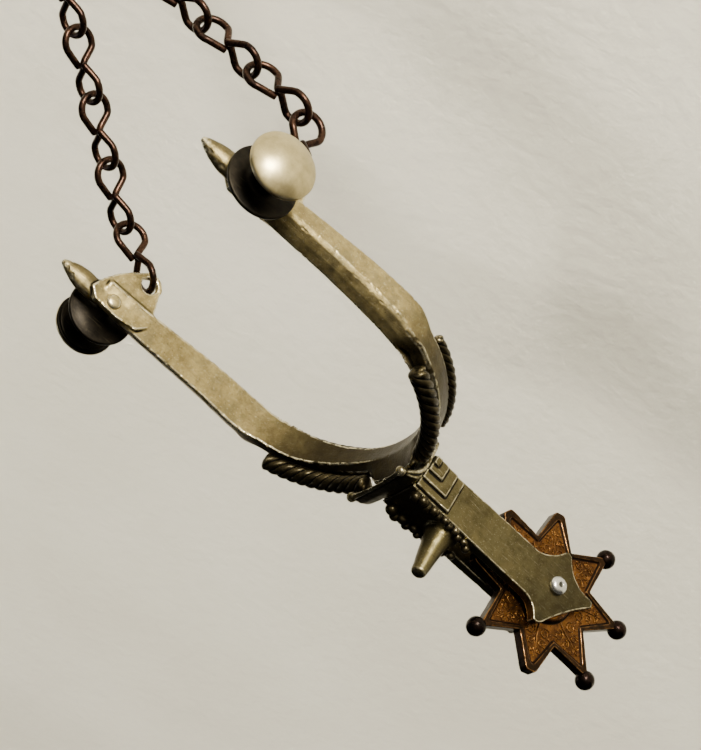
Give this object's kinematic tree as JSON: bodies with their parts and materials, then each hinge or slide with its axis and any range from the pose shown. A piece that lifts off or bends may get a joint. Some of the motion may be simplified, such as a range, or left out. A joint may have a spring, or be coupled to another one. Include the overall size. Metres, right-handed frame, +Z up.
{
  "type": "western spur",
  "caption": "Western spur: U-shaped heel band with twisted rope edges, spool strap buttons, horned shank, spinning eight-point star rowel and jack-link heel chain.",
  "frame": {"origin": "centre of the heel band's bend, on the mid-plane of its inner face", "axes": "+X to the side of the arm nearer the viewer, +Y towards the toe, +Z up as worn"},
  "size_m": [0.1102, 0.2322, 0.0782],
  "materials": {
    "aged_brass": "antiqued, worn bright on the edges",
    "satin_nickel": "satin",
    "aged_brass_shank": "antiqued",
    "dark_trim": "dark patina in the grooves",
    "copper_star": "antiqued copper, dark edges",
    "bright_pin": "bright",
    "dark_copper": "dark antique copper plate"
  },
  "bodies": {
    "heel": {"heel_band": "aged_brass", "strap_button_left": "satin_nickel", "strap_button_right": "satin_nickel", "shank": "aged_brass_shank", "shank_collar": "aged_brass_shank", "chap_guard_horn": "aged_brass_shank", "bead_row_left": "dark_trim", "bead_row_right": "dark_trim", "rope_top_left": "dark_trim", "rope_top_right": "dark_trim", "rope_bottom_left": "dark_trim", "rope_bottom_right": "dark_trim", "rowel_pin": "bright_pin"},
    "rowel": {"rowel": "copper_star"},
    "chain_left_01": {"chain_left_01": "dark_copper"},
    "chain_left_02": {"chain_left_02": "dark_copper"},
    "chain_left_03": {"chain_left_03": "dark_copper"},
    "chain_left_04": {"chain_left_04": "dark_copper"},
    "chain_left_05": {"chain_left_05": "dark_copper"},
    "chain_right_01": {"chain_right_01": "dark_copper"},
    "chain_right_02": {"chain_right_02": "dark_copper"},
    "chain_right_03": {"chain_right_03": "dark_copper"},
    "chain_right_04": {"chain_right_04": "dark_copper"},
    "chain_right_05": {"chain_right_05": "dark_copper"},
    "chain_middle_link": {"chain_middle_link": "dark_copper"}
  },
  "joints": [
    {"name": "rowel_spin", "type": "hinge", "parent": "heel", "child": "rowel", "pos_m": [0, -0.0875, 0.00265], "axis": [1, 0, 0], "continuous": true},
    {"name": "left_01_swing", "type": "hinge", "parent": "heel", "child": "chain_left_01", "pos_m": [-0.03532, 0.03732, -0.00835], "axis": [1, 0, 0], "range_deg": [-55, 25]},
    {"name": "left_02_swing", "type": "hinge", "parent": "chain_left_01", "child": "chain_left_02", "pos_m": [-0.03821, 0.05204, -0.01888], "axis": [1, 0, 0], "range_deg": [-40, 40]},
    {"name": "left_03_swing", "type": "hinge", "parent": "chain_left_02", "child": "chain_left_03", "pos_m": [-0.03046, 0.06677, -0.02521], "axis": [1, 0, 0], "range_deg": [-40, 40]},
    {"name": "left_04_swing", "type": "hinge", "parent": "chain_left_03", "child": "chain_left_04", "pos_m": [-0.02271, 0.08149, -0.03153], "axis": [1, 0, 0], "range_deg": [-40, 40]},
    {"name": "left_05_swing", "type": "hinge", "parent": "chain_left_04", "child": "chain_left_05", "pos_m": [-0.01496, 0.09621, -0.03786], "axis": [1, 0, 0], "range_deg": [-40, 40]},
    {"name": "right_01_swing", "type": "hinge", "parent": "heel", "child": "chain_right_01", "pos_m": [0.03536, 0.0358, -0.00997], "axis": [1, 0, 0], "range_deg": [-40, 40]},
    {"name": "right_02_swing", "type": "hinge", "parent": "chain_right_01", "child": "chain_right_02", "pos_m": [0.03701, 0.0431, -0.02617], "axis": [1, 0, 0], "range_deg": [-65, 40]},
    {"name": "right_03_swing", "type": "hinge", "parent": "chain_right_02", "child": "chain_right_03", "pos_m": [0.03097, 0.05909, -0.03114], "axis": [1, 0, 0], "range_deg": [-40, 40]},
    {"name": "right_04_swing", "type": "hinge", "parent": "chain_right_03", "child": "chain_right_04", "pos_m": [0.02492, 0.07507, -0.03611], "axis": [1, 0, 0], "range_deg": [-40, 40]},
    {"name": "right_05_swing", "type": "hinge", "parent": "chain_right_04", "child": "chain_right_05", "pos_m": [0.01888, 0.09106, -0.04108], "axis": [1, 0, 0], "range_deg": [-40, 40]},
    {"name": "middle_link_swing", "type": "hinge", "parent": "chain_left_05", "child": "chain_middle_link", "pos_m": [-0.00861, 0.11409, -0.04561], "axis": [1, 0, 0], "range_deg": [-15, 5]}
  ]
}
